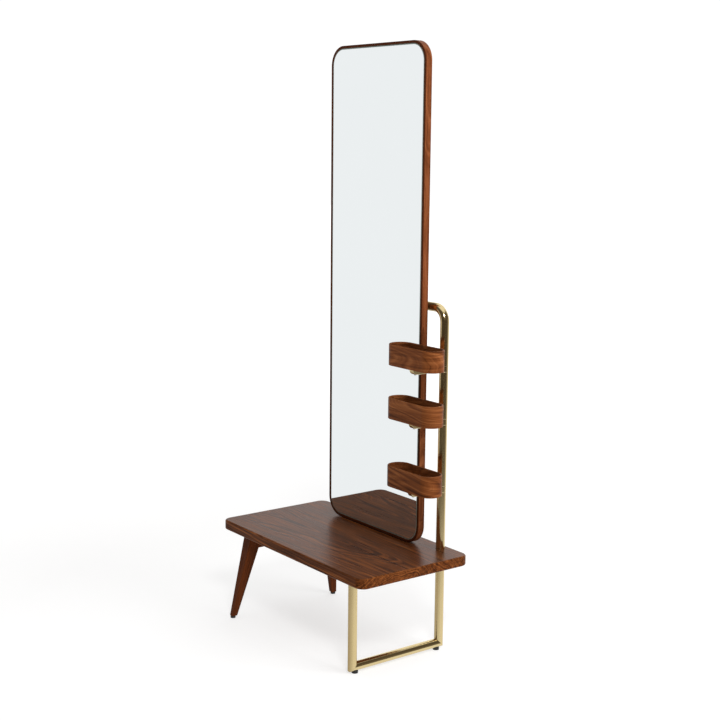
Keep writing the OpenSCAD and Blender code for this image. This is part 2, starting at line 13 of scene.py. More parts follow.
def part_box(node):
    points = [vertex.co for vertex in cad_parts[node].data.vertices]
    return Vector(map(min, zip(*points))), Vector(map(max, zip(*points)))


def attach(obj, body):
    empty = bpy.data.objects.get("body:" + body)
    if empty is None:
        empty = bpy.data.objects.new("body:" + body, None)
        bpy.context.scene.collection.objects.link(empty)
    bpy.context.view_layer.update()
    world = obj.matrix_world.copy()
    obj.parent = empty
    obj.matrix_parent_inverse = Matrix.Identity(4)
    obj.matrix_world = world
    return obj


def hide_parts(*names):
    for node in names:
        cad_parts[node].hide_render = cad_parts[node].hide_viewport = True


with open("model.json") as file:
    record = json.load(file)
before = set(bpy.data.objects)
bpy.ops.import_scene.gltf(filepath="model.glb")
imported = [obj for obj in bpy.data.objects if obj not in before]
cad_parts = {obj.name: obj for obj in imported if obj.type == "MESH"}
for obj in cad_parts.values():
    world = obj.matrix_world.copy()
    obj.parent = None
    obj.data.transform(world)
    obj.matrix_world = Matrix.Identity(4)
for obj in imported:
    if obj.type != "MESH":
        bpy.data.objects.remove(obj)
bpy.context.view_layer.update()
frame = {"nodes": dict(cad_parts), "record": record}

MM = 0.001
TURN = 2 * math.pi
ROUND = 48  # points round a tube or a turned piece
record = frame["record"]
SLOT_OF = {part["node"]: part["material_slot"] for part in record["subparts"]}
BODY_OF = {n: body for body, nodes in record["behaviour"]["bodies"].items() for n in nodes}


# ------------------------------------------------------------------ reading the frame


def box(node):
    """Lowest and highest corner of a CAD node as arrays."""
    low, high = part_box(node)
    return np.array(low), np.array(high)


def middle(node):
    low, high = box(node)
    return (low + high) / 2


def extent(node):
    """Lowest and highest corner, middle and size of a CAD node."""
    low, high = box(node)
    return low, high, (low + high) / 2, high - low


def solids(node):
    """Box of each separate solid in a CAD node, in a fixed order."""
    bm = bmesh.new()
    bm.from_mesh(frame["nodes"][node].data)
    bmesh.ops.remove_doubles(bm, verts=bm.verts, dist=1e-6)
    left, boxes = set(bm.verts), []
    while left:
        stack, found = [left.pop()], []
        while stack:
            v = stack.pop()
            found.append(tuple(v.co))
            for e in v.link_edges:
                other = e.other_vert(v)
                if other in left:
                    left.remove(other)
                    stack.append(other)
        found = np.array(found)
        boxes.append((found.min(0), found.max(0)))
    bm.free()
    return sorted(boxes, key=lambda b: tuple(np.round(b[0], 4)))


# ------------------------------------------------------------------ shader nodes


def add(tree, kind, sockets=None, **settings):
    """Adds a shader node; sockets maps an input to a value or to another node's output."""
    made = tree.nodes.new("ShaderNode" + kind)
    for key, value in settings.items():
        setattr(made, key, value)
    for key, value in (sockets or {}).items():
        if isinstance(value, bpy.types.NodeSocket):
            tree.links.new(value, made.inputs[key])
        else:
            made.inputs[key].default_value = value
    return made


def calc(tree, operation, a, b=0.0, c=0.0):
    return add(tree, "Math", {0: a, 1: b, 2: c}, operation=operation).outputs[0]


def noise(tree, vector, scale, detail=2.0, roughness=0.5, distortion=0.0):
    """Noise stretched by a scale per axis."""
    mapped = add(tree, "Mapping", {"Vector": vector, "Scale": scale}).outputs[0]
    return add(
        tree,
        "TexNoise",
        {
            "Vector": mapped,
            "Scale": 1.0,
            "Detail": detail,
            "Roughness": roughness,
            "Distortion": distortion,
        },
    ).outputs["Fac"]


def blend(tree, factor, a, b, kind="MIX"):
    made = add(tree, "Mix", data_type="RGBA", blend_type=kind)
    for index, value in ((0, factor), (6, a), (7, b)):
        if isinstance(value, bpy.types.NodeSocket):
            tree.links.new(value, made.inputs[index])
        else:
            made.inputs[index].default_value = value
    return made.outputs[2]


def ramp(tree, factor, stops):
    """Colour or grey ramp from (position, colour) stops."""
    made = add(tree, "ValToRGB", {0: factor})
    elements = made.color_ramp.elements
    while len(elements) < len(stops):
        elements.new(0.5)
    for element, (position, colour) in zip(elements, stops):
        element.position = position
        element.color = colour
    return made.outputs[0]


def span(tree, value, low, high, to_low=0.0, to_high=1.0):
    """Value from low..high mapped to to_low..to_high and held there."""
    return add(
        tree, "MapRange", {0: value, 1: low, 2: high, 3: to_low, 4: to_high}, clamp=True
    ).outputs[0]


def srgb(red, green, blue):
    """Linear colour of an 8-bit screen colour."""
    out = []
    for v in (red, green, blue):
        v /= 255
        out.append(v / 12.92 if v <= 0.04045 else ((v + 0.055) / 1.055) ** 2.4)
    return (*out, 1.0)


def start(name):
    """New node material: its tree and its principled shader."""
    material = bpy.data.materials.new(name)
    material.use_nodes = True
    tree = material.node_tree
    return material, tree, tree.nodes["Principled BSDF"]


def attribute(tree, name):
    return add(tree, "Attribute", attribute_name=name)


STREAK, FIBRE, CLOUD = 0.8, 0.35, 0.25  # shares of the long streaks, fine fibre and slow tone
CONTRAST = 0.27  # half of the spread that takes the wood from its dark to its light tone
# Near-black brown that the frame lip's front face is darkened towards, and how far it goes.
LIP_FRONT_DARK, LIP_FRONT_DARK_SHARE = srgb(63, 29, 13), 0.92
UPRIGHT_SHINE = 0.3  # an upright face's share of the burnished top's shine


def wood(name, tones, rough, specular, bold, veins, figure=0.004, slope=0.03, coords="grain"):
    """Oiled wood in three tones. Coordinates run along the grain, across it and into the board,
    in metres. figure is the spread of the growth rings in metres; slope tips the log against
    the board, which draws the long arches of a plain-sawn face; bold is how much they show,
    and veins how much the fine dark lines between them do. coords names the board's own axis
    that the grain follows, for a board without grain coordinates."""
    dark, mid, light = (srgb(*tone) for tone in tones)
    material, tree, shader = start(name)
    if coords == "grain":
        vector = attribute(tree, "grain").outputs["Vector"]
    else:
        turned = {"x": (0, 0, 0), "y": (0, 0, -TURN / 4), "z": (0, TURN / 4, 0)}[coords]
        place = add(tree, "TexCoord").outputs["Object"]
        vector = add(tree, "Mapping", {"Vector": place, "Rotation": turned}).outputs[0]
    axes = add(tree, "SeparateXYZ", {0: vector}).outputs
    drift = noise(tree, vector, (1.3, 7.0, 7.0), 2.0)
    sway = noise(tree, vector, (5.0, 16.0, 16.0), 1.0)
    lift = calc(tree, "MULTIPLY_ADD", axes[0], slope, 0.035)
    lift = calc(tree, "MULTIPLY_ADD", drift, 0.10, lift)
    lift = calc(tree, "MULTIPLY_ADD", sway, 0.012, lift)
    deep = calc(tree, "ADD", axes[2], lift)
    side = calc(tree, "MULTIPLY_ADD", drift, 0.05, axes[1])
    reach = calc(tree, "ADD", calc(tree, "MULTIPLY", deep, deep), calc(tree, "MULTIPLY", side, side))
    rings = calc(tree, "DIVIDE", calc(tree, "SQRT", reach), figure)
    band = add(
        tree, "TexNoise", {"W": rings, "Scale": 1.0, "Detail": 4.0, "Roughness": 0.62},
        noise_dimensions="1D",
    ).outputs["Fac"]
    band = span(tree, band, 0.30, 0.70)
    fibre = noise(tree, vector, (9.0, 420.0, 420.0), 3.0, 0.6)
    streak = noise(tree, vector, (3.2, 110.0, 110.0), 3.0, 0.6)
    tone = noise(tree, vector, (2.2, 11.0, 11.0), 2.0)
    mixed = calc(tree, "MULTIPLY", band, bold)
    mixed = calc(tree, "MULTIPLY_ADD", streak, STREAK, mixed)
    mixed = calc(tree, "MULTIPLY_ADD", fibre, FIBRE, mixed)
    mixed = calc(tree, "MULTIPLY_ADD", tone, CLOUD, mixed)
    centre = (bold + STREAK + FIBRE + CLOUD) / 2
    shade = span(tree, mixed, centre - CONTRAST, centre + CONTRAST)
    colour = ramp(tree, shade, [(0.0, dark), (0.5, mid), (1.0, light)])
    pores = noise(tree, vector, (70.0, 2300.0, 2300.0), 1.0)
    pore = span(tree, pores, 0.60, 0.70)
    colour = blend(tree, calc(tree, "MULTIPLY", pore, 0.35), colour, dark)
    lines = span(tree, noise(tree, vector, (7.0, 240.0, 240.0), 2.0, 0.55, 0.4), 0.56, 0.68)
    colour = blend(tree, calc(tree, "MULTIPLY", lines, veins), colour, dark)
    worn = calc(tree, "MULTIPLY", attribute(tree, "wear").outputs["Fac"], span(tree, tone, 0.35, 0.65))
    colour = blend(tree, calc(tree, "MULTIPLY", worn, 0.30), colour, light)
    # Darkens the frame lip's front face towards a near-black brown.
    front_darkened = calc(tree, "MULTIPLY", attribute(tree, "lip_front_dark").outputs["Fac"], LIP_FRONT_DARK_SHARE)
    colour = blend(tree, front_darkened, colour, LIP_FRONT_DARK)
    tree.links.new(colour, shader.inputs["Base Color"])
    shine = calc(tree, "MULTIPLY_ADD", streak, 0.16, rough - 0.08)
    shine = calc(tree, "MULTIPLY_ADD", pore, 0.10, shine)
    shine = calc(tree, "MULTIPLY_ADD", worn, -0.06, shine)
    tree.links.new(shine, shader.inputs["Roughness"])
    height = calc(tree, "MULTIPLY_ADD", pore, -0.6, calc(tree, "MULTIPLY", fibre, 0.5))
    bump = add(tree, "Bump", {"Strength": 0.22, "Distance": 0.0003, "Height": height})
    tree.links.new(bump.outputs[0], shader.inputs["Normal"])
    facing = add(tree, "SeparateXYZ", {0: add(tree, "NewGeometry").outputs["Normal"]}).outputs[2]
    level = calc(tree, "ABSOLUTE", facing)
    burnished = span(tree, level, 0.2, 0.8, specular * UPRIGHT_SHINE, specular)
    tree.links.new(burnished, shader.inputs["Specular IOR Level"])
    shader.inputs["Specular Tint"].default_value = (1.0, 0.5, 0.22, 1.0)
    return material


TARNISH = 0.25


def metal(name, colour, shade, rough, spread, lines):
    """Polished or plated metal: satin roughness, faint polishing lines and a slow tone drift."""
    material, tree, shader = start(name)
    place = add(tree, "TexCoord").outputs["Object"]
    cloud = noise(tree, place, (9.0, 9.0, 5.0), 3.0, 0.6)
    fine = noise(tree, place, (900.0, 900.0, 60.0), 2.0)
    worn = attribute(tree, "wear").outputs["Fac"]
    dull = calc(tree, "MULTIPLY", span(tree, cloud, 0.45, 0.75), TARNISH)
    tinted = blend(tree, dull, colour, shade)
    tinted = blend(tree, calc(tree, "MULTIPLY", worn, 0.12), tinted, (1.0, 0.98, 0.94, 1.0))
    tree.links.new(tinted, shader.inputs["Base Color"])
    shine = calc(tree, "MULTIPLY_ADD", cloud, spread, rough - spread / 2)
    shine = calc(tree, "MULTIPLY_ADD", fine, spread / 2, shine)
    tree.links.new(shine, shader.inputs["Roughness"])
    bump = add(tree, "Bump", {"Strength": lines, "Distance": 0.00005, "Height": fine})
    tree.links.new(bump.outputs[0], shader.inputs["Normal"])
    shader.inputs["Metallic"].default_value = 1.0
    return material


def coated(name, colour, pale, rough, grain, metallic=0.0, specular=0.5):
    """Lacquer, moulded plastic or rubber: a fine leathery texture and faint dust on the edges."""
    material, tree, shader = start(name)
    place = add(tree, "TexCoord").outputs["Object"]
    mottle = noise(tree, place, (grain, grain, grain), 3.0, 0.6)
    cloud = noise(tree, place, (24.0, 24.0, 24.0), 2.0)
    worn = attribute(tree, "wear").outputs["Fac"]
    mixed = calc(tree, "MULTIPLY_ADD", cloud, 0.35, calc(tree, "MULTIPLY", mottle, 0.25))
    mixed = calc(tree, "MULTIPLY_ADD", worn, 0.22, mixed)
    tree.links.new(blend(tree, mixed, colour, pale), shader.inputs["Base Color"])
    tree.links.new(calc(tree, "MULTIPLY_ADD", mottle, 0.2, rough - 0.1), shader.inputs["Roughness"])
    bump = add(tree, "Bump", {"Strength": 0.25, "Distance": 0.0001, "Height": mottle})
    tree.links.new(bump.outputs[0], shader.inputs["Normal"])
    shader.inputs["Metallic"].default_value = metallic
    shader.inputs["Specular IOR Level"].default_value = specular
    return material


def silvered(name):
    """Back-silvered glass: a clean mirror with the faint unevenness of float glass."""
    material, tree, shader = start(name)
    place = add(tree, "TexCoord").outputs["Object"]
    cloud = noise(tree, place, (3.0, 3.0, 2.0), 2.0)
    film = noise(tree, place, (60.0, 60.0, 35.0), 3.0, 0.6)
    clear, dim = srgb(236, 240, 241), srgb(234, 238, 239)
    tree.links.new(blend(tree, cloud, clear, dim), shader.inputs["Base Color"])
    tree.links.new(span(tree, film, 0.3, 0.8, 0.0, 0.03), shader.inputs["Roughness"])
    shader.inputs["Metallic"].default_value = 1.0
    return material


def ground_edge(name):
    """Ground bevel of the glass, where the body colour shows as grey-green."""
    material, tree, shader = start(name)
    place = add(tree, "TexCoord").outputs["Object"]
    cloud = noise(tree, place, (30.0, 30.0, 30.0), 3.0)
    tree.links.new(blend(tree, cloud, srgb(176, 188, 182), srgb(150, 164, 156)), shader.inputs["Base Color"])
    tree.links.new(calc(tree, "MULTIPLY_ADD", cloud, 0.12, 0.16), shader.inputs["Roughness"])
    shader.inputs["Metallic"].default_value = 0.55
    return material


BRASS, BRASS_SHADE = srgb(230, 209, 158), srgb(204, 176, 118)
MATERIALS = {
    "walnut_top": wood(
        "walnut_top", ((34, 15, 6), (87, 45, 20), (132, 77, 38)),
        rough=0.30, specular=0.24, bold=0.42, veins=0.85, slope=0.05,
    ),
    "walnut_leg": wood(
        "walnut_leg", ((52, 24, 10), (80, 38, 16), (102, 52, 24)),
        rough=0.44, specular=0.12, bold=0.2, veins=0.3,
    ),
    "walnut_frame": wood(
        "walnut_frame", ((70, 34, 16), (106, 57, 31), (138, 82, 49)),
        rough=0.42, specular=0.14, bold=0.3, veins=0.3,
    ),
    "walnut_tray": wood(
        "walnut_tray", ((64, 32, 15), (110, 61, 31), (142, 88, 50)),
        rough=0.46, specular=0.26, bold=0.34, veins=0.6, figure=0.005, slope=0.10,
    ),
    "dark_panel": wood(
        "dark_panel", ((44, 26, 17), (70, 43, 28), (92, 60, 41)),
        rough=0.55, specular=0.3, bold=0.3, veins=0.4, figure=0.006, slope=0.05, coords="z",
    ),
    "inner_wood": wood(
        "inner_wood", ((150, 120, 86), (190, 160, 122), (214, 188, 152)),
        rough=0.7, specular=0.3, bold=0.3, veins=0.2, figure=0.006, slope=0.05, coords="x",
    ),
    "dark_plate": coated("dark_plate", srgb(48, 35, 26), srgb(86, 68, 54), 0.42, 900.0, 0.4),
    "brass_tube": metal("brass_tube", BRASS, BRASS_SHADE, 0.14, 0.04, 0.01),
    "brass_bar": metal("brass_bar", BRASS, BRASS_SHADE, 0.22, 0.06, 0.03),
    "steel": metal("steel", srgb(196, 198, 202), srgb(150, 150, 152), 0.3, 0.1, 0.1),
    "black_glide": coated("black_glide", srgb(22, 21, 20), srgb(52, 50, 48), 0.5, 1500.0),
    "black_pad": coated("black_pad", srgb(20, 19, 18), srgb(44, 43, 41), 0.75, 1200.0, 0.0, 0.3),
    "mirror_face": silvered("mirror_face"),
}
GLASS_EDGE = ground_edge("glass_edge")


# ------------------------------------------------------------------ meshes


def skin(rings, around=True, along=False, caps=True):
    """Vertices and faces over rings of points. around closes each ring; along joins the last
    ring to the first; caps closes the two ends."""
    rings = np.asarray(rings, float)
    count, points = rings.shape[:2]
    faces = []
    for i in range(count if along else count - 1):
        a, b = i * points, (i + 1) % count * points
        for j in range(points if around else points - 1):
            k = (j + 1) % points
            faces.append((a + j, a + k, b + k, b + j))
    if caps and not along:
        faces.append(tuple(reversed(range(points))))
        faces.append(tuple((count - 1) * points + j for j in range(points)))
    return rings.reshape(-1, 3), faces


def stack(parts):
    """Several (vertices, faces) as one."""
    vertices, faces, offset = [], [], 0
    for v, f in parts:
        vertices.append(np.asarray(v, float).reshape(-1, 3))
        faces += [tuple(i + offset for i in face) for face in f]
        offset += len(vertices[-1])
    return np.concatenate(vertices), faces


def write(mesh, name, values):
    """Per-vertex attribute: a vector for three columns, else a number."""
    values = np.asarray(values, np.float32)
    kind, key = ("FLOAT_VECTOR", "vector") if values.ndim == 2 else ("FLOAT", "value")
    made = mesh.attributes.get(name) or mesh.attributes.new(name, kind, "POINT")
    made.data.foreach_set(key, values.ravel())


def points_of(mesh):
    co = np.zeros(len(mesh.vertices) * 3)
    mesh.vertices.foreach_get("co", co)
    return co.reshape(-1, 3)


def put(name, data):
    """New object in the scene."""
    made = bpy.data.objects.new(name, data)
    bpy.context.scene.collection.objects.link(made)
    return made


def solid(name, vertices, faces):
    """New mesh whose faces all look outward."""
    mesh = bpy.data.meshes.new(name)
    mesh.from_pydata([tuple(v) for v in vertices], [], faces)
    bm = bmesh.new()
    bm.from_mesh(mesh)
    bmesh.ops.recalc_face_normals(bm, faces=bm.faces)
    bm.to_mesh(mesh)
    bm.free()
    return mesh


def piece(node, shape, grain=None, wear=None, sharp=32.0, weighted=True, cutters=()):
    """Fine mesh that stands for a CAD node. grain and wear are arrays in vertex order, or
    functions of the vertices' places, which is what a cut mesh needs."""
    mesh = solid(node + "_piece", *shape)
    made = put(node + "_piece", mesh)
    if len(cutters):
        cut(made, cutters)
        mesh = made.data
    bm = bmesh.new()
    bm.from_mesh(mesh)
    for e in bm.edges:
        e.smooth = e.calc_face_angle(0.0) < math.radians(sharp)
    for f in bm.faces:
        f.smooth = True
    bm.to_mesh(mesh)
    bm.free()
    places = points_of(mesh)
    if grain is not None:
        write(mesh, "grain", grain(places) if callable(grain) else grain)
    if wear is not None:
        write(mesh, "wear", wear(places) if callable(wear) else wear)
    mesh.materials.clear()
    mesh.materials.append(MATERIALS[SLOT_OF[node]])
    if weighted:
        made.modifiers.new("even", "WEIGHTED_NORMAL").keep_sharp = True
    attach(made, BODY_OF[node])
    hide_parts(node)
    return made


def cut(target, shapes):
    """Takes solids out of a mesh, and keeps the result as its mesh."""
    cutter = put("cutter", solid("cutter", *stack(shapes)))
    change = target.modifiers.new("cut", "BOOLEAN")
    change.operation = "DIFFERENCE"
    change.solver = "EXACT"
    change.object = cutter
    graph = bpy.context.evaluated_depsgraph_get()
    result = bpy.data.meshes.new_from_object(target.evaluated_get(graph))
    target.modifiers.clear()
    target.data = result
    bpy.data.objects.remove(cutter)


def outline(length, width, radius, steps=8, guard=3 * MM):
    """Closed rounded rectangle: points, outward normals and wear, with a guard point on the
    straight side next to each arc so that wear and shading stay on the arc."""
    points, normals, wear = [], [], []
    for sx, sy, first in ((1, 1, 0.0), (-1, 1, 90.0), (-1, -1, 180.0), (1, -1, 270.0)):
        centre = np.array([sx * (length / 2 - radius), sy * (width / 2 - radius)])
        for i in range(-1, steps + 2):
            angle = math.radians(first + 90.0 * min(max(i, 0), steps) / steps)
            normal = np.array([math.cos(angle), math.sin(angle)])
            point = centre + radius * normal
            if i < 0:
                point = point + guard * np.array([math.sin(angle), -math.cos(angle)])
            elif i > steps:
                point = point - guard * np.array([math.sin(angle), -math.cos(angle)])
            points.append(point)
            normals.append(normal)
            wear.append(0.0 if i < 0 or i > steps else 1.0)
    return np.array(points), np.array(normals), np.array(wear)


def stadium(length, width, steps=24, straight=6):
    """Closed outline with two half-round ends: points and outward normals, from the middle of
    the +Y side, going round by -X."""
    radius, half = width / 2, (length - width) / 2
    points, normals = [], []
    for i in range(straight):
        points.append((-half * i / straight, radius))
        normals.append((0, 1))
    for side in (-1, 1):
        for i in range(steps + 1):
            a = TURN / 2 * i / steps
            normal = (side * math.sin(a), -side * math.cos(a))
            points.append((side * half + radius * normal[0], radius * normal[1]))
            normals.append(normal)
        span_from, count = (-half, 2 * straight) if side < 0 else (half, straight)
        for i in range(1, count):
            x = span_from * (1 - i / straight)
            points.append((x, side * radius))
            normals.append((0, side))
    return np.array(points), np.array(normals)


def slab(points, normals, low, high, soft_low, soft_high, steps=5, guard=2.5 * MM):
    """Rings of a plate that stands on an outline, with rounded lower and upper edges, and
    the wear of each ring."""
    levels = [(soft_low + guard, low, 0.0)]
    for i in range(steps + 1):
        a = TURN / 4 * i / steps
        levels.append((soft_low * (1 - math.sin(a)), low + soft_low * (1 - math.cos(a)), 1.0))
    levels.append((0.0, low + soft_low + guard * 0.5, 0.0))
    levels.append((0.0, high - soft_high - guard * 0.5, 0.0))
    for i in reversed(range(steps + 1)):
        a = TURN / 4 * i / steps
        levels.append((soft_high * (1 - math.sin(a)), high - soft_high * (1 - math.cos(a)), 1.0))
    levels.append((soft_high + guard, high, 0.0))
    rings = [np.column_stack([points - normals * inset, np.full(len(points), z)]) for inset, z, _ in levels]
    wear = np.repeat([w for _, _, w in levels], len(points))
    return np.array(rings), wear


def turned(profile, centre, axis="z", count=ROUND, hollow=False):
    """Turned solid about an axis through centre; profile is (radius, distance along the axis).
    A hollow profile is a closed loop."""
    rings = []
    for radius, along in profile:
        ring = []
        for j in range(count):
            a = TURN * j / count
            ring.append((radius * math.cos(a), radius * math.sin(a), along))
        rings.append(ring)
    rings = np.array(rings)
    if axis == "x":
        rings = rings[..., [2, 0, 1]]
    elif axis == "y":
        rings = rings[..., [1, 2, 0]]
    return skin(rings + np.asarray(centre, float), along=hollow)


def wear_of(profile_wear, count=ROUND):
    return np.repeat(profile_wear, count)


def sleeve(outer, inner, low, high, soft):
    """Closed profile of a tube with broken end edges, and its wear."""
    profile = [
        (inner, low + soft / 2), (inner + soft / 2, low), (outer - soft, low),
        (outer - soft * 0.3, low + soft * 0.3), (outer, low + soft), (outer, low + 3 * soft),
        (outer, high - 3 * soft), (outer, high - soft), (outer - soft * 0.3, high - soft * 0.3),
        (outer - soft, high), (inner + soft / 2, high), (inner, high - soft / 2),
    ]
    return profile, [0, 0, 1, 1, 1, 0, 0, 1, 1, 1, 0, 0]


def soft_cap(radius, low, high, soft, steps=4):
    """Open profile of a turned button: flat foot, straight side, rounded top edge."""
    profile = [(0.0005, low), (radius - soft * 0.4, low), (radius, low + soft * 0.4)]
    for i in range(steps + 1):
        a = TURN / 4 * i / steps
        profile.append((radius - soft * (1 - math.cos(a)), high - soft * (1 - math.sin(a))))
    profile += [(radius * 0.5, high), (0.0005, high)]
    return profile


def screw(place, axis, head_radius, head_height, shank_radius, shank_length, socket=0.55):
    """Button-head screw with a hexagon socket. Its head stands on place and faces along axis."""
    count = 24
    axis = Vector(axis).normalized()
    turn = Vector((0, 0, 1)).rotation_difference(axis).to_matrix()

    def ring(radius, height, sides=0):
        out = []
        for j in range(count):
            a = TURN * j / count
            r = radius
            if sides:
                wedge = TURN / sides
                r = radius * math.cos(wedge / 2) / math.cos((a % wedge) - wedge / 2)
            out.append(np.array(turn @ Vector((r * math.cos(a), r * math.sin(a), height))))
        return np.array(out) + np.asarray(place)

    rings = [ring(shank_radius * 0.55, -shank_length), ring(shank_radius, -shank_length + shank_radius)]
    rings += [ring(shank_radius, 0.0), ring(head_radius, 0.0), ring(head_radius, head_height * 0.35)]
    for share, height in ((0.95, 0.66), (0.85, 0.88), (0.72, 1.0)):
        rings.append(ring(head_radius * share, head_height * height))
    rings += [ring(head_radius * socket, head_height, 6), ring(head_radius * socket, head_height * 0.3, 6)]
    return skin(np.array(rings))


# ------------------------------------------------------------------ bench

BENCH_CORNER, BENCH_EDGE = 30 * MM, 5 * MM
COUNTERBORE, COUNTERBORE_DEPTH = 9 * MM, 12 * MM
bench_low, bench_high, bench_mid, bench_size = extent("bench_top")
under_z, top_z = bench_low[2], bench_high[2]
pole = middle("pole_lower")
TUBE = (box("pole_lower")[1][0] - box("pole_lower")[0][0]) / 2
BORE = TUBE - 2 * MM


def bench():
    """Solid top with a rounded edge, the pole's hole and the mirror bolts' counterbores."""
    points, normals, _ = outline(bench_size[0], bench_size[1], BENCH_CORNER, 14)
    rings, _ = slab(points, normals, under_z, top_z, BENCH_EDGE, BENCH_EDGE, 7, 4 * MM)
    hole = TUBE + 0.5 * MM
    cutters = [turned([(hole, under_z - MM), (hole, top_z + MM)], (pole[0], pole[1], 0), count=64)]
    for low, high in solids("mirror_bolts"):
        x, y = (low[:2] + high[:2]) / 2
        side = [(COUNTERBORE, under_z - MM), (COUNTERBORE, under_z + COUNTERBORE_DEPTH)]
        cutters.append(turned(side, (x, y, 0)))

    def grain(p):
        return p - bench_mid + (0.31, 0.045, 0.0)

    def wear(p):
        inside = np.minimum(p[:, 2] - under_z, top_z - p[:, 2])
        return np.clip(1 - inside / BENCH_EDGE, 0, 1) * edge_nearness(p)

    def edge_nearness(p):
        reach = (np.abs(p[:, :2] - bench_mid[:2]) - bench_size[:2] / 2).max(axis=1)
        return np.clip(1 + (reach + 2 * MM) / (8 * MM), 0, 1)

    piece("bench_top", skin(rings + (bench_mid[0], bench_mid[1], 0)), grain, wear, cutters=cutters)


LEG_FOOT, LEG_HEAD, LEG_SOFT = 18 * MM, 46 * MM, 3.5 * MM
caps = solids("foot_caps")
cap_high = box("leg_front_left")[0][2]


def leg(node, side, tint):
    """Tapered leg, splayed both ways: side is -1 at the front and 1 at the back."""
    low, high = box(node)
    foot = (caps[0][0] + caps[0][1]) / 2
    foot = np.array([foot[0], side * abs(foot[1])])
    inner = high[1] if side < 0 else low[1]
    head = np.array([high[0] - LEG_HEAD / 2, inner + side * LEG_HEAD / 2])
    heights = [cap_high, cap_high + 0.6 * MM, cap_high + 3 * MM]
    heights += list(np.linspace(cap_high + 20 * MM, under_z - 12 * MM, 7)) + [under_z]
    rings, grain, wear = [], [], []
    for i, z in enumerate(heights):
        share = z / under_z
        width = LEG_FOOT + (LEG_HEAD - LEG_FOOT) * share - (1.2 * MM if i == 0 else 0)
        points, _, worn = outline(width, width, LEG_SOFT * (0.6 + 0.4 * share), 5, 1.5 * MM)
        centre = foot + (head - foot) * share
        rings.append(np.column_stack([points + centre, np.full(len(points), z)]))
        grain.append(np.column_stack([np.full(len(points), z + tint), points + (0.012, -0.02)]))
        wear.append(worn)
    grain = np.array(grain).reshape(-1, 3)
    piece(node, skin(np.array(rings)), grain, np.array(wear).ravel())


def leg_inner(z):
    """Inner face of a leg along Y at a height, measured from the middle."""
    foot = abs((caps[0][0][1] + caps[0][1][1]) / 2)
    head = box("leg_back_left")[0][1] + LEG_HEAD / 2
    share = z / under_z
    return foot + (head - foot) * share - (LEG_FOOT + (LEG_HEAD - LEG_FOOT) * share) / 2


def rail():
    """Cross-rail between the legs, with counterbored screws below."""
    low, _, mid, size = extent("leg_rail")
    points, _, _ = outline(size[0], size[2], 2.5 * MM, 4, 1.5 * MM)
    rings = []
    for share in (-1.0, -0.98, -0.5, 0.0, 0.5, 0.98, 1.0):
        z = points[:, 1] + mid[2]
        y = share * (leg_inner(z) + 0.3 * MM)
        rings.append(np.column_stack([points[:, 0] + mid[0], y, z]))
    cutters = []
    for a, b in solids("rail_screws"):
        x, y = (a[:2] + b[:2]) / 2
        cutters.append(turned([(6 * MM, low[2] - MM), (6 * MM, low[2] + 4 * MM)], (x, y, 0), count=32))

    def along(p):
        return np.column_stack([p[:, 1] + 0.7, p[:, 0] - mid[0] + 0.01, p[:, 2] - mid[2]])

    piece("leg_rail", skin(np.array(rings)), along, cutters=cutters)


def foot_caps():
    shapes = []
    for low, high in caps:
        x, y = (low[:2] + high[:2]) / 2
        radius = (high[0] - low[0]) / 2
        shapes.append(turned(soft_cap(radius, 0.0, cap_high, 0.8 * MM), (x, y, 0), count=32))
    piece("foot_caps", stack(shapes))


# ------------------------------------------------------------------ brass tube

post = middle("front_post")
rail_z = middle("floor_rail")[2]
CORNER_SOFT = 3.5 * MM


def soften_corner(p, y_out, inward):
    """Rounds the loop's outer mitre: y_out is the outer face, inward the way to the loop."""
    low = rail_z - TUBE
    u, v = (p[..., 1] - y_out) * inward, p[..., 2] - low
    gap_u, gap_v = CORNER_SOFT - u, CORNER_SOFT - v
    reach = np.hypot(gap_u, gap_v)
    inside = (gap_u > 0) & (gap_v > 0) & (reach > CORNER_SOFT)
    scale = np.where(inside, CORNER_SOFT / np.maximum(reach, 1e-9), 1.0)
    p[..., 1] = np.where(inside, y_out + inward * (CORNER_SOFT - gap_u * scale), p[..., 1])
    p[..., 2] = np.where(inside, low + CORNER_SOFT - gap_v * scale, p[..., 2])
    return p


def circle(radius):
    a = np.arange(ROUND) * TURN / ROUND
    return radius * np.cos(a), radius * np.sin(a)


NEAR = [0.0, 0.25 * MM, 1 * MM, 2 * MM, 3 * MM, 4.5 * MM, 7 * MM, 12 * MM]


def upright_tube(node, x, y, high, side, soft):
    """Tube that rises from a mitred lower end; side is 1 where the loop lies towards +Y."""
    rings, wear = [], []
    for radius, order in ((TUBE, 1), (BORE, -1)):
        px, py = circle(radius)
        foot = rail_z + side * py
        wall = []
        for i, step in enumerate(NEAR):
            r = 1 - (0.25 * MM / TUBE if i == 0 and order > 0 else 0)
            wall.append(np.column_stack([x + px * r, y + py * r, foot + step + side * py * (r - 1)]))
        for z in (high - 3 * soft, high - soft, high):
            r = 1 - (soft / TUBE if z == high and order > 0 else 0)
            wall.append(np.column_stack([x + px * r, y + py * r, np.full(ROUND, z)]))
        wall = np.array(wall)
        worn = [1] + [0] * (len(NEAR) - 1) + [0, 1, 1]
        wall = soften_corner(wall, y - side * TUBE, side) if order > 0 else wall
        rings.append(wall[::order])
        wear += worn[::order] if order > 0 else [0] * len(worn)
    rings = np.concatenate(rings)
    piece(node, skin(rings, along=True), None, wear_of(wear))


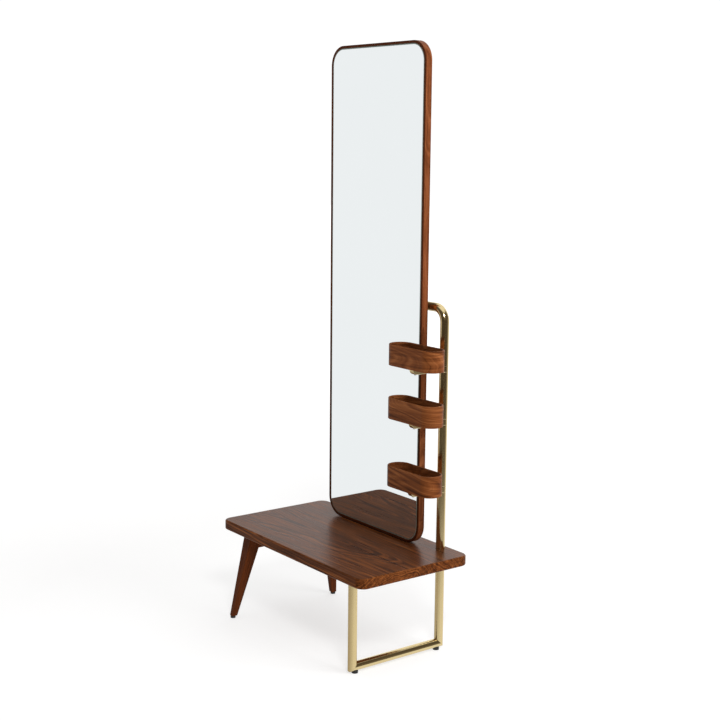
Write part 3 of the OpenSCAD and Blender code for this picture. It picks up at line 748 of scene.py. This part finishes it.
def level_tube():
    """Floor rail of the loop, mitred at both ends."""
    rings, wear = [], []
    for radius, order in ((TUBE, 1), (BORE, -1)):
        px, pz = circle(radius)
        front = post[1] + pz
        back = pole[1] - pz
        wall = []
        for i, step in enumerate(NEAR):
            r = 1 - (0.25 * MM / TUBE if i == 0 and order > 0 else 0)
            wall.append(np.column_stack([pole[0] + px * r, front + step + pz * (r - 1), rail_z + pz * r]))
        for i, step in reversed(list(enumerate(NEAR))):
            r = 1 - (0.25 * MM / TUBE if i == 0 and order > 0 else 0)
            wall.append(np.column_stack([pole[0] + px * r, back - step - pz * (r - 1), rail_z + pz * r]))
        wall = np.array(wall)
        if order > 0:
            wall = soften_corner(wall, post[1] - TUBE, 1)
            wall = soften_corner(wall, pole[1] + TUBE, -1)
        rings.append(wall[::order])
        worn = [1] + [0] * (2 * len(NEAR) - 2) + [1]
        wear += worn if order > 0 else [0] * len(worn)
    piece("floor_rail", skin(np.concatenate(rings), along=True), None, wear_of(wear))


def straight_tube(node):
    """Length of tube or a hub ring that stands on the pole's axis."""
    low, high = box(node)
    profile, wear = sleeve(TUBE, BORE, low[2], high[2], 0.35 * MM)
    piece(node, turned(profile, (pole[0], pole[1], 0), hollow=True), None, wear_of(wear))


def washers():
    shapes, worn = [], []
    for low, high in solids("thrust_washers"):
        profile, wear = sleeve(TUBE, BORE, low[2], high[2], 0.1 * MM)
        shapes.append(turned(profile, (pole[0], pole[1], 0), hollow=True))
        worn.append(wear_of(wear))
    piece("thrust_washers", stack(shapes), None, np.concatenate(worn))


def bent_tube():
    """Upper pole, which bends over and runs behind the mirror as the arm."""
    low, high = box("pole_upper")
    arm_z, bend = high[2] - TUBE, 42 * MM
    path, tangents = [], []
    for z in (low[2], low[2] + 0.35 * MM, low[2] + MM, (low[2] + arm_z - bend) / 2):
        path.append((pole[0], z))
        tangents.append((0.0, 1.0))
    for i in range(25):
        a = TURN / 4 * i / 24
        path.append((pole[0] - bend + bend * math.cos(a), arm_z - bend + bend * math.sin(a)))
        tangents.append((-math.sin(a), math.cos(a)))
    for x in (low[0] + 60 * MM, low[0] + MM, low[0] + 0.35 * MM, low[0]):
        path.append((x, arm_z))
        tangents.append((-1.0, 0.0))
    rings, wear = [], []
    last = len(path) - 1
    for radius, order in ((TUBE, 1), (BORE, -1)):
        wall, worn = [], []
        for i, ((x, z), (tx, tz)) in enumerate(zip(path, tangents)):
            r = radius - (0.35 * MM if i in (0, last) and order > 0 else 0)
            pa, pb = circle(r)
            wall.append(np.column_stack([x + pa * tz, pole[1] + pb, z - pa * tx]))
            worn.append(1 if i in (0, 1, last - 1, last) and order > 0 else 0)
        rings.append(np.array(wall[::order]))
        wear += worn[::order]
    piece("pole_upper", skin(np.concatenate(rings), along=True), None, wear_of(wear))


def plug():
    """Low domed stopper in the arm's free end."""
    low, high = box("arm_plug")
    mid = middle("arm_plug")
    profile = [(0.0005, high[0])]
    profile += [(BORE, high[0]), (BORE, low[0] + 2 * MM), (TUBE, low[0] + 2 * MM), (TUBE, low[0] + 1.2 * MM)]
    for share, depth in ((0.97, 0.75), (0.9, 0.4), (0.75, 0.15), (0.5, 0.04), (0.04, 0.0)):
        profile.append((TUBE * share, low[0] + depth * MM))
    piece("arm_plug", turned(profile, (0, mid[1], mid[2]), "x"))


def saddles():
    """Blocks shaped to the arm that stand it off the mirror's back."""
    arm_z = middle("arm_plug")[2]
    shapes = []
    for low, high in solids("arm_saddles"):
        half = (high[2] - low[2]) / 2
        side = [(low[1], -half), (low[1], half)]
        for i in range(13):
            z = half * (1 - i / 6)
            side.append((pole[1] - math.sqrt(TUBE**2 - z**2), z))
        side = np.array(side)
        centre = side.mean(0)
        soft = 0.8 * MM
        rings = []
        for x, shrink in ((low[0], soft), (low[0] + soft, 0), (high[0] - soft, 0), (high[0], soft)):
            inner = side + (centre - side) * shrink / half
            rings.append(np.column_stack([np.full(len(side), x), inner[:, 0], inner[:, 1] + arm_z]))
        shapes.append(skin(np.array(rings)))
    piece("arm_saddles", stack(shapes))


def glides():
    """Round feet under the loop, hollowed to take the tube."""
    shapes = []
    for low, high in solids("rail_glides"):
        x, y = (low[:2] + high[:2]) / 2
        radius = (high[0] - low[0]) / 2
        rings = []
        for r, z in ((0.0005, 0), (radius - MM, 0), (radius - 0.3 * MM, 0.3 * MM), (radius, MM)):
            px, py = circle(r)
            rings.append(np.column_stack([px, py, np.full(ROUND, z)]))
        for r in (radius, radius * 0.8, radius * 0.6, radius * 0.4, radius * 0.2, 0.0005):
            px, py = circle(r)
            seat = rail_z - np.sqrt(TUBE**2 - px**2)
            rings.append(np.column_stack([px, py, np.minimum(seat, rail_z - TUBE + 3 * MM)]))
        shapes.append(skin(np.array(rings) + (x, y, 0)))
    piece("rail_glides", stack(shapes))


def flanges():
    """Round plates that carry the two tubes under the bench."""
    for node, hollow in (("post_flange", False), ("pole_flange", True)):
        low, high = box(node)
        x, y, _ = middle(node)
        radius = (high[0] - low[0]) / 2
        edge = [(radius - 1.2 * MM, low[2]), (radius - 0.35 * MM, low[2] + 0.35 * MM)]
        edge += [(radius, low[2] + 1.2 * MM), (radius, high[2])]
        if hollow:
            profile = [(TUBE, high[2]), (TUBE, low[2])] + edge
        else:
            profile = [(0.0005, low[2])] + edge + [(0.0005, high[2])]
        piece(node, turned(profile, (x, y, 0), hollow=hollow))


def screws(node, axis, head_height, shank_radius):
    """All the screws of a node, each with its head at the end that axis points to."""
    shapes = []
    direction = np.array(axis, float)
    along = int(np.argmax(np.abs(direction)))
    for low, high in solids(node):
        place = (low + high) / 2
        length = high[along] - low[along]
        across = [i for i in range(3) if i != along][0]
        place[along] = (high if direction[along] > 0 else low)[along] - direction[along] * head_height
        radius = (high[across] - low[across]) / 2
        shapes.append(screw(place, axis, radius, head_height, shank_radius, length - head_height))
    piece(node, stack(shapes))


def pins():
    """Flush pins that hold the inner core in the tube."""
    shapes = []
    for low, high in solids("core_pins"):
        mid = (low + high) / 2
        radius = (high[2] - low[2]) / 2
        face = pole[1] + TUBE + 0.15 * MM
        profile = [(0.0003, low[1]), (radius, low[1]), (radius, face - 0.4 * MM)]
        profile += [(radius * 0.8, face - 0.1 * MM), (radius * 0.4, face), (0.0003, face)]
        shapes.append(turned(profile, (mid[0], 0, mid[2]), "y", 24))
    piece("core_pins", stack(shapes))


# ------------------------------------------------------------------ mirror

FRAME_CORNER, LIP, TIMBER, GLASS_BACK, REBATE, COVER = (v * MM for v in (62, 8.5, 26, 6, 8, 4))
frame_low = np.minimum(box("frame_bottom")[0], box("frame_left")[0])
frame_high = np.maximum(box("frame_top")[1], box("frame_right")[1])
frame_mid = (frame_low + frame_high) / 2
frame_w, frame_h = frame_high[0] - frame_low[0], frame_high[2] - frame_low[2]


def frame_section():
    """Closed section of the frame's timber: (distance inward, Y) points and wear."""
    front, back = frame_low[1], frame_high[1]
    big, small = 2.2 * MM, 1.0 * MM
    section, wear = [], []

    def corner(d, y, first, radius, steps=4):
        for i in range(steps + 1):
            a = math.radians(first - 90 * i / steps)
            section.append((d + radius * math.cos(a), y + radius * math.sin(a)))
            wear.append(1)

    def plain(d, y):
        section.append((d, y))
        wear.append(0)

    corner(big, back - big, 180, big)  # outer back edge, from the side to the back face
    plain(big + 3 * MM, back)
    plain(TIMBER - REBATE, back)
    plain(TIMBER - REBATE, back - COVER)
    plain(TIMBER, back - COVER)
    plain(TIMBER, front + GLASS_BACK)
    plain(LIP, front + GLASS_BACK)
    corner(LIP - small, front + small, 0, small)  # the lip's inner edge
    plain(LIP / 2, front)
    corner(big, front + big, 270, big)  # outer front edge
    plain(0, front + big + 3 * MM)
    plain(0, back - big - 3 * MM)
    return np.array(section), np.array(wear, float)


def frame_path(kind):
    """Outer edge of a member: points in X and Z, inward normals and length so far."""
    half_w, half_h, r = frame_w / 2, frame_h / 2, FRAME_CORNER
    joint = box("frame_left")[1][2] - frame_mid[2]
    if kind in ("left", "right"):
        side = -1 if kind == "left" else 1
        heights = [-joint, -joint + 0.3 * MM] + list(np.linspace(-joint + 0.1, joint - 0.1, 5))
        heights += [joint - 0.3 * MM, joint]
        points = [(side * half_w, z) for z in heights]
        inward = [(-side, 0.0)] * len(points)
    else:
        up = 1 if kind == "top" else -1
        points = [(-half_w, up * joint), (-half_w, up * (joint + 0.3 * MM))]
        inward = [(1.0, 0.0)] * 2
        for side in (-1, 1):
            for i in range(19):
                a = TURN / 4 * (i / 18 if side < 0 else 1 - i / 18)
                normal = (-side * math.cos(a), -up * math.sin(a))
                points.append((side * (half_w - r) - r * normal[0], up * (half_h - r) - r * normal[1]))
                inward.append(normal)
        points += [(half_w, up * (joint + 0.3 * MM)), (half_w, up * joint)]
        inward += [(-1.0, 0.0)] * 2
    points, inward = np.array(points), np.array(inward)
    steps = np.hypot(*np.diff(points, axis=0).T)
    return points, inward, np.concatenate([[0], np.cumsum(steps)])


def frame_member(kind, offset):
    """One member, its grain following its length round the corners."""
    section, worn = frame_section()
    centre = section.mean(0)
    points, inward, length = frame_path(kind)
    rings, grain, wear = [], [], []
    last = len(points) - 1
    for i, (p, n, s) in enumerate(zip(points, inward, length)):
        shape = section + (centre - section) * (0.022 if i in (0, last) else 0.0)
        flat = p + shape[:, :1] * n
        rings.append(np.column_stack([flat[:, 0] + frame_mid[0], shape[:, 1], flat[:, 1] + frame_mid[2]]))
        along = np.full(len(shape), s + offset)
        grain.append(np.column_stack([along, shape[:, 1] - frame_low[1], shape[:, 0]]))
        wear.append(worn)
    grain = np.array(grain).reshape(-1, 3)
    made = piece("frame_" + kind, skin(np.array(rings)), grain, np.array(wear).ravel())
    front = section[:, 1] - frame_low[1]
    # Marks the lip's front face, within 2.3 mm of the frame's front, to be darkened near-black.
    write(made.data, "lip_front_dark", np.tile(np.clip((2.3 * MM - front) / (1.0 * MM), 0, 1), len(points)))


def glass():
    """Silvered plate with a narrow ground bevel along its front edge."""
    low, high, mid, size = extent("mirror_glass")
    points, normals, _ = outline(size[0], size[2], FRAME_CORNER - LIP, 18)
    front = [(8 * MM, 0.0), (3.6 * MM, 0.0), (0.4 * MM, 0.7 * MM), (0.0, 1.1 * MM)]
    levels = front + [(0.0, size[1]), (6 * MM, size[1])]
    rings = []
    for inset, depth in levels:
        flat = points - normals * inset
        rings.append(
            np.column_stack([flat[:, 0] + mid[0], np.full(len(flat), low[1] + depth), flat[:, 1] + mid[2]])
        )
    made = piece("mirror_glass", skin(np.array(rings)), sharp=3.0, weighted=False)
    made.data.materials.append(GLASS_EDGE)
    for face in made.data.polygons:
        if low[1] + 0.01 * MM < face.center.y < high[1] - 0.01 * MM:
            face.material_index = 1


def cover():
    """Thin upright panel let into the frame's back."""
    low, _, mid, size = extent("back_cover")
    points, normals, _ = outline(size[0], size[2], FRAME_CORNER - TIMBER + REBATE, 12)
    rings, wear = slab(points, normals, 0.0, size[1], 0.3 * MM, 0.8 * MM, 3, 2 * MM)
    rings = np.stack([rings[..., 0] + mid[0], rings[..., 2] + low[1], rings[..., 1] + mid[2]], -1)
    piece("back_cover", skin(rings), None, wear)


def pad():
    low, high, mid, size = extent("mirror_pad")
    points, normals, _ = outline(size[0], size[1], 3 * MM, 5)
    rings, wear = slab(points, normals, low[2], high[2], 0.4 * MM, 0.4 * MM, 2, MM)
    piece("mirror_pad", skin(rings + (mid[0], mid[1], 0)), None, wear)


# ------------------------------------------------------------------ trays

BAND, RIM, FOOT_SOFT = 5 * MM, 2.5 * MM, 1.2 * MM


def tray_band(index, tilt, offset, side_offset):
    """Bent strip with a round rim, its ends joined by a slanted seam on the pole's side."""
    node = f"tray_{index}_band"
    low, _, mid, size = extent(node)
    height = size[2]
    points, normals = stadium(size[0], size[1], 30, 8)
    points, normals = np.vstack([points, points[:1]]), np.vstack([normals, normals[:1]])
    length = np.concatenate([[0], np.cumsum(np.hypot(*np.diff(points, axis=0).T))])
    section, worn = [], []
    for centre_d, centre_z, first, radius, steps in (
        (RIM, height - RIM, 180, RIM, 5), (BAND - RIM, height - RIM, 90, RIM, 5),
        (BAND - FOOT_SOFT, FOOT_SOFT, 0, FOOT_SOFT, 3), (FOOT_SOFT, FOOT_SOFT, -90, FOOT_SOFT, 3),
    ):
        for i in range(steps + 1):
            a = math.radians(first - 90 * i / steps)
            section.append((centre_d + radius * math.cos(a), centre_z + radius * math.sin(a)))
            worn.append(1.0)
        if first == 90 or first == -90:
            d = BAND if first == 90 else 0.0
            for z in (height - RIM - 3 * MM, height / 2, 4 * MM)[:: 1 if first == 90 else -1]:
                section.append((d, z))
                worn.append(0.0)
    section, worn = np.array(section), np.array(worn)
    centre = section.mean(0)
    seam = 0.28 * (section[:, 1] - height / 2)
    rings, grain, wear = [], [], []
    total = length[-1]
    turn = math.radians(tilt)
    for i, (p, n, s) in enumerate(zip(points, normals, length)):
        ends = min(s, total - s)
        shape = section + (centre - section) * (0.03 if ends < 1e-6 else 0.0)
        lean = seam * max(0.0, 1 - ends / (24 * MM))
        gap = 0.06 * MM if s < 1e-6 else (-0.06 * MM if total - s < 1e-6 else 0.0)
        flat = p - shape[:, :1] * n
        flat[:, 0] -= lean + gap
        rings.append(np.column_stack([flat + mid[:2], shape[:, 1] + low[2]]))
        u, v = np.full(len(shape), s) + lean, shape[:, 1]
        along = u * math.cos(turn) + v * math.sin(turn)
        across = v * math.cos(turn) - u * math.sin(turn)
        grain.append(np.column_stack([along + offset, across + side_offset, shape[:, 0]]))
        wear.append(worn)
        if ends < 1e-6 and i == 0:
            flat = p - section[:, :1] * n
            flat[:, 0] -= seam + 0.5 * MM
            rings.append(np.column_stack([flat + mid[:2], section[:, 1] + low[2]]))
            grain.append(grain[-1])
            wear.append(worn)
    grain = np.array(grain).reshape(-1, 3)
    piece(node, skin(np.array(rings)), grain, np.array(wear).ravel())


def tray_board(node, soft_low, soft_high, steps, log=None):
    """Oval board under a tray or in it; log places it in its log where it is wood."""
    low, high, mid, size = extent(node)
    points, normals = stadium(size[0], size[1], 24, 4)
    rings, wear = slab(points, normals, low[2], high[2], soft_low, soft_high, steps, 2 * MM)
    shape = skin(rings + (mid[0], mid[1], 0))
    piece(node, shape, None if log is None else shape[0] - mid + log, wear)


def tray_bar(index):
    """Flat bar from the hub ring, its front end rounded up to the plate."""
    node = f"tray_{index}_bar"
    low, high = box(node)
    width, height = high[0] - low[0], high[2] - low[2]
    steps = [0.05, 0.3, 0.8, 1.6, 2.8, 4.4, 6.4, 8.6, 11.0, 14.0, 60.0, 112.0]
    rings, wear = [], []
    for step in steps:
        t = min(step * MM, height)
        deep = math.sqrt(height**2 - (height - t) ** 2)
        soft = min(0.9 * MM, deep * 0.4)
        points, _, worn = outline(width, deep, soft, 3, min(0.9 * MM, deep * 0.08))
        z = high[2] - deep / 2 + points[:, 1]
        rings.append(np.column_stack([points[:, 0] + pole[0], np.full(len(points), low[1] + step * MM), z]))
        wear.append(worn)
    points, _, worn = outline(width, height, 0.9 * MM, 3, 0.8 * MM)
    end = pole[1] - np.sqrt(TUBE**2 - points[:, 0] ** 2) + 0.3 * MM
    rings.append(np.column_stack([points[:, 0] + pole[0], end, high[2] - height / 2 + points[:, 1]]))
    wear.append(worn)
    piece(node, skin(np.array(rings)), None, np.array(wear).ravel())


# ------------------------------------------------------------------ making

bench()
leg("leg_front_left", -1, 0.0)
leg("leg_back_left", 1, 0.9)
rail()
foot_caps()
screws("rail_screws", (0, 0, -1), 4 * MM, 3 * MM)
upright_tube("front_post", post[0], post[1], box("front_post")[1][2], 1, 0.3 * MM)
upright_tube("pole_lower", pole[0], pole[1], box("pole_lower")[1][2], -1, 0.35 * MM)
level_tube()
straight_tube("pole_spacer_low")
straight_tube("pole_spacer_high")
washers()
bent_tube()
plug()
saddles()
glides()
flanges()
screws("flange_screws", (0, 0, -1), 2 * MM, 2 * MM)
screws("arm_bolts", (0, 1, 0), 3 * MM, 2.5 * MM)
pins()
for part, shift in (("left", 0.0), ("right", 2.4), ("top", 5.0), ("bottom", 7.7)):
    frame_member(part, shift)
glass()
cover()
screws("cover_screws", (0, 1, 0), 1.5 * MM, 1.5 * MM)
pad()
screws("mirror_bolts", (0, 0, -1), 5 * MM, 3 * MM)
for number, tilt, along, across in ((1, 2.0, 3.15, 0.02), (2, 1.0, 4.6, 0.05), (3, -9.0, 6.3, 0.0)):
    tray_band(number, tilt, along, across)
    tray_board(f"tray_{number}_base", 0.4 * MM, 0.5 * MM, 2, (0.2 + 0.4 * number, 0.03, 0.01))
    tray_board(f"tray_{number}_plate", 0.9 * MM, 0.4 * MM, 3)
    tray_bar(number)
    straight_tube(f"tray_{number}_hub")
    screws(f"tray_{number}_screws", (0, 0, -1), 2 * MM, 2 * MM)
    screws(f"tray_{number}_bolts", (0, 0, -1), 2.5 * MM, 2 * MM)

for name, made in frame["nodes"].items():
    if not made.hide_render:
        made.data.materials.clear()
        made.data.materials.append(MATERIALS[SLOT_OF[name]])


# ------------------------------------------------------------------ studio


def aim(azimuth, elevation):
    """Unit vector towards a point of the studio; azimuth 0 is -Y and 90 is +X."""
    a, e = math.radians(azimuth), math.radians(elevation)
    return Vector((math.sin(a) * math.cos(e), -math.cos(a) * math.cos(e), math.sin(e)))


def camera():
    """Camera at the view's own angle."""
    azimuth, elevation, roll, distance = 53.06, 9.52, 0.54, 4.19776
    target = Vector((0.00684, 0.06655, 0.900))
    back = aim(azimuth, elevation)
    right = (-back).cross(Vector((0, 0, 1))).normalized()
    up = right.cross(-back)
    r = math.radians(roll)
    right, up = right * math.cos(r) + up * math.sin(r), up * math.cos(r) - right * math.sin(r)
    data = bpy.data.cameras.new("camera")
    data.sensor_width = 36.0
    data.lens = 66.03
    data.clip_start, data.clip_end = 0.05, 200.0
    made = put("camera", data)
    turn = Matrix((right, up, back)).transposed().to_4x4()
    made.matrix_world = Matrix.Translation(target + back * distance) @ turn
    bpy.context.scene.camera = made


def panel(name, azimuth, elevation, distance, width, height, power, target, mirrored=True):
    """Soft rectangular studio lamp that faces the target; mirrored is whether metal shows it."""
    data = bpy.data.lights.new(name, "AREA")
    data.shape = "RECTANGLE"
    data.size, data.size_y = width, height
    data.energy = power
    made = put(name, data)
    back = aim(azimuth, elevation)
    made.location = Vector(target) + back * distance
    made.rotation_euler = back.to_track_quat("Z", "Y").to_euler()
    made.visible_camera = False
    made.visible_glossy = mirrored


def surroundings():
    """White studio with a dark room in front: the brass and the oiled top mirror its dark side,
    while the looking-glass and the back light stay white."""
    world = bpy.data.worlds.new("studio")
    bpy.context.scene.world = world
    world.use_nodes = True
    tree = world.node_tree
    sky = tree.nodes["Background"]
    axes = add(tree, "SeparateXYZ", {0: add(tree, "TexCoord").outputs["Generated"]}).outputs
    around = calc(tree, "ARCTAN2", axes[0], calc(tree, "MULTIPLY", axes[1], -1.0))
    around = span(tree, around, -TURN / 2, TURN / 2)
    height = axes[2]

    def belt(stops):
        """Brightness round the horizon from (azimuth in degrees, level) stops."""
        warm = [(a / 360 + 0.5, (v, v**1.08, v**1.18, 1.0)) for a, v in stops]
        return ramp(tree, around, warm)

    def passing(low, high):
        return span(tree, height, math.sin(math.radians(low)), math.sin(math.radians(high)))

    low = belt([(-150, 0.9), (-127, 0.6), (-60, 0.45), (-20, 0.55), (45, 0.76), (90, 0.94), (176, 0.9)])
    middle = belt([(-45, 1.0), (-36, 0.14), (0, 0.06), (110, 0.07), (140, 0.25), (160, 0.65), (176, 1.0)])
    high = belt([(-125, 1.0), (-108, 0.10), (156, 0.10), (176, 1.0)])
    colour = blend(tree, passing(-19, -15.5), low, middle)
    colour = blend(tree, passing(5, 11), colour, high)
    colour = blend(tree, passing(46, 58), colour, (1.0, 1.0, 1.0, 1.0))
    tree.links.new(colour, sky.inputs["Color"])
    sky.inputs["Strength"].default_value = 1.0


def backdrop():
    """White surround that only the camera sees."""
    bm = bmesh.new()
    bmesh.ops.create_icosphere(bm, subdivisions=3, radius=30.0)
    bmesh.ops.reverse_faces(bm, faces=bm.faces)
    mesh = bpy.data.meshes.new("backdrop")
    bm.to_mesh(mesh)
    bm.free()
    material = bpy.data.materials.new("backdrop")
    material.use_nodes = True
    tree = material.node_tree
    tree.nodes.remove(tree.nodes["Principled BSDF"])
    glow = add(tree, "Emission", {"Color": (1, 1, 1, 1), "Strength": 1.05})
    tree.links.new(glow.outputs[0], tree.nodes["Material Output"].inputs["Surface"])
    mesh.materials.append(material)
    made = put("backdrop", mesh)
    for ray in ("diffuse", "glossy", "transmission", "volume_scatter", "shadow"):
        setattr(made, "visible_" + ray, False)


FLOOR_GLOW = 0.64


def floor():
    """Pale floor, lit from within a little like a studio's light table."""
    bm = bmesh.new()
    bmesh.ops.create_circle(bm, cap_ends=True, segments=128, radius=28.0)
    mesh = bpy.data.meshes.new("floor")
    bm.to_mesh(mesh)
    bm.free()
    material, tree, shader = start("floor")
    place = add(tree, "TexCoord").outputs["Object"]
    cloud = noise(tree, place, (3.0, 3.0, 3.0), 2.0)
    pale = blend(tree, cloud, (0.41, 0.41, 0.41, 1), (0.42, 0.42, 0.42, 1))
    tree.links.new(pale, shader.inputs["Base Color"])
    away = add(tree, "VectorMath", {0: place}, operation="LENGTH").outputs["Value"]
    tree.links.new(span(tree, away, 1.2, 5.0, FLOOR_GLOW, 1.0), shader.inputs["Emission Strength"])
    shader.inputs["Roughness"].default_value = 0.9
    shader.inputs["Specular IOR Level"].default_value = 0.0
    shader.inputs["Emission Color"].default_value = (1, 1, 1, 1)
    mesh.materials.append(material)
    made = put("floor", mesh)
    made.visible_glossy = False


camera()
surroundings()
backdrop()
floor()
panel("side_panel", 112, 12, 3.6, 2.2, 2.8, 108, (0.1, 0, 0.9), False)
panel("key", 62, 38, 4.5, 0.8, 0.8, 80, (0, 0, 0.5))
bpy.context.scene.view_settings.view_transform = "Standard"
